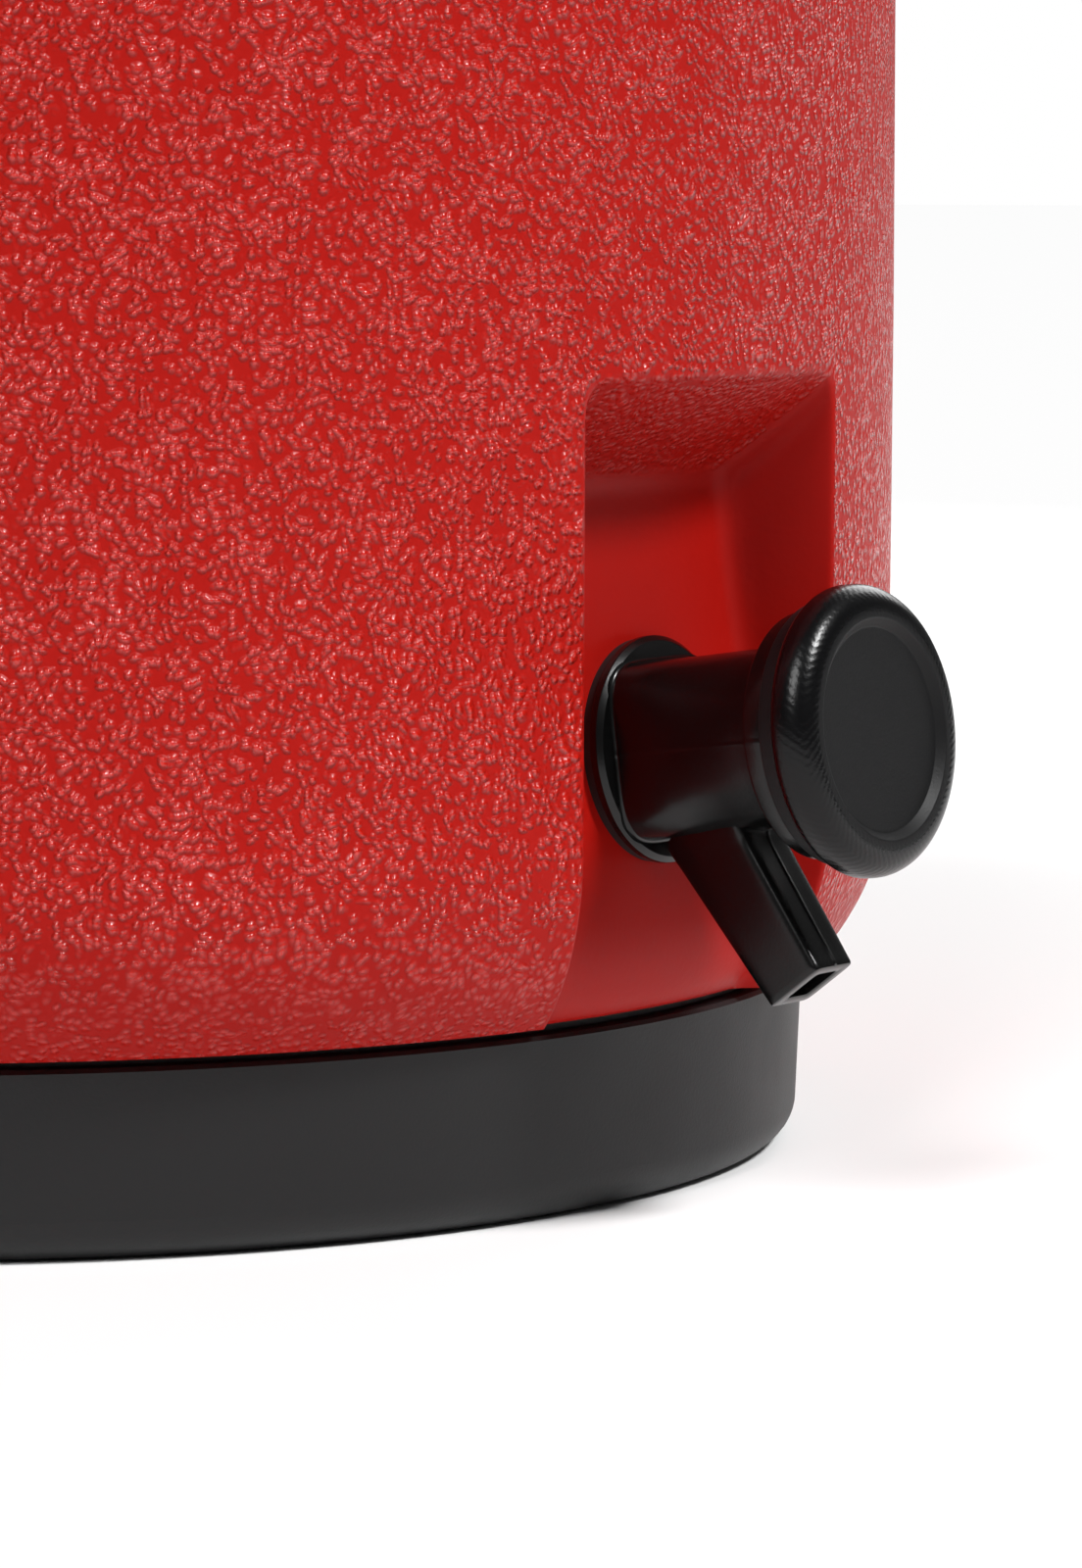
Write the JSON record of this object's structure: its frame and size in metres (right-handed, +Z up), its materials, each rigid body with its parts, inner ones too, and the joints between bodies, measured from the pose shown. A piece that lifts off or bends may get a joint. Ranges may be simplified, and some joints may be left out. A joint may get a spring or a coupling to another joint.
{
  "type": "drinks cooler on wheels",
  "caption": "Round insulated drinks cooler with a push-button tap in a front recess, lift-off lid, swing carry handles, pull handle and rear wheels.",
  "frame": {"origin": "centre of the base's underside, on the body's axis, at floor level", "axes": "+Z up along the body's axis; -Y towards the front, where the tap is; +X to the right as seen from the front"},
  "size_m": [0.362, 0.3756, 0.471],
  "materials": {
    "body_red": "pebble-textured polyethylene, semi-gloss",
    "base_black": "satin moulded plastic",
    "tap_black": "satin moulded acetal",
    "lid_black": "fine-grained moulded plastic",
    "handle_black": "fine-grained moulded plastic",
    "liner_white": "smooth food-grade plastic",
    "foam_cream": "rigid polyurethane foam",
    "seal_rubber": "smooth silicone rubber",
    "tyre_rubber": "matt moulded rubber",
    "hub_grey": "moulded nylon",
    "tube_aluminium": "satin anodised",
    "zinc_steel": "zinc-plated",
    "spring_steel": "drawn stainless wire"
  },
  "bodies": {
    "root": {"outer_shell": "body_red", "foam_fill": "foam_cream", "inner_liner": "liner_white", "liner_floor": "liner_white", "top_collar": "base_black", "base_tub": "base_black", "base_screws": "zinc_steel", "tap_body": "tap_black", "tap_outer_washer": "seal_rubber", "tap_inner_washer": "seal_rubber", "tap_lock_nut": "tap_black", "stem_seal": "seal_rubber", "return_spring": "spring_steel", "wheel_carrier": "base_black", "carrier_screws": "zinc_steel", "axle_left": "zinc_steel", "axle_right": "zinc_steel", "axle_cap_left": "base_black", "axle_cap_right": "base_black", "handle_bracket": "handle_black", "bracket_screws": "zinc_steel", "outer_tube_left": "tube_aluminium", "outer_tube_right": "tube_aluminium", "carry_bracket_left": "handle_black", "carry_bracket_right": "handle_black", "carry_pins_left": "zinc_steel", "carry_pins_right": "zinc_steel"},
    "lid": {"lid_shell": "lid_black", "lid_foam": "foam_cream", "lid_inner_panel": "liner_white", "lid_gasket": "seal_rubber"},
    "push_button": {"push_button": "tap_black", "valve_stem": "tap_black", "valve_seal": "seal_rubber"},
    "wheel_left": {"wheel_hub_left": "hub_grey", "wheel_tyre_left": "tyre_rubber"},
    "wheel_right": {"wheel_hub_right": "hub_grey", "wheel_tyre_right": "tyre_rubber"},
    "handle_middle": {"middle_tube_left": "tube_aluminium", "middle_tube_right": "tube_aluminium"},
    "handle_inner": {"inner_tube_left": "tube_aluminium", "inner_tube_right": "tube_aluminium", "pull_grip": "handle_black"},
    "release_button": {"release_button": "hub_grey"},
    "carry_left": {"carry_handle_left": "handle_black"},
    "carry_right": {"carry_handle_right": "handle_black"}
  },
  "joints": [
    {"name": "lid_lift", "type": "slide", "parent": "root", "child": "lid", "axis": [0, 0, 1], "range_m": [0, 0.25]},
    {"name": "button_press", "type": "slide", "parent": "root", "child": "push_button", "axis": [0, 0.9919, -0.1271], "range_m": [0, 0.0055], "stiffness_N_per_m": 800, "springref_m": -0.004, "deforming": ["return_spring"]},
    {"name": "wheel_left_spin", "type": "hinge", "parent": "root", "child": "wheel_left", "pos_m": [-0.115, 0.152, 0.04], "axis": [1, 0, 0], "continuous": true},
    {"name": "wheel_right_spin", "type": "hinge", "parent": "root", "child": "wheel_right", "pos_m": [0.115, 0.152, 0.04], "axis": [1, 0, 0], "continuous": true},
    {"name": "handle_middle_slide", "type": "slide", "parent": "root", "child": "handle_middle", "axis": [0, 0, 1], "range_m": [0, 0.3]},
    {"name": "handle_inner_slide", "type": "slide", "parent": "handle_middle", "child": "handle_inner", "axis": [0, 0, 1], "range_m": [0, 0.29]},
    {"name": "release_press", "type": "slide", "parent": "handle_inner", "child": "release_button", "axis": [0, 0, -1], "range_m": [0, 0.004], "stiffness_N_per_m": 500, "springref_m": -0.002},
    {"name": "carry_left_swing", "type": "hinge", "parent": "root", "child": "carry_left", "pos_m": [-0.17, 0, 0.38], "axis": [0, 1, 0], "range_deg": [0, 150]},
    {"name": "carry_right_swing", "type": "hinge", "parent": "root", "child": "carry_right", "pos_m": [0.17, 0, 0.38], "axis": [0, -1, 0], "range_deg": [0, 150]}
  ]
}
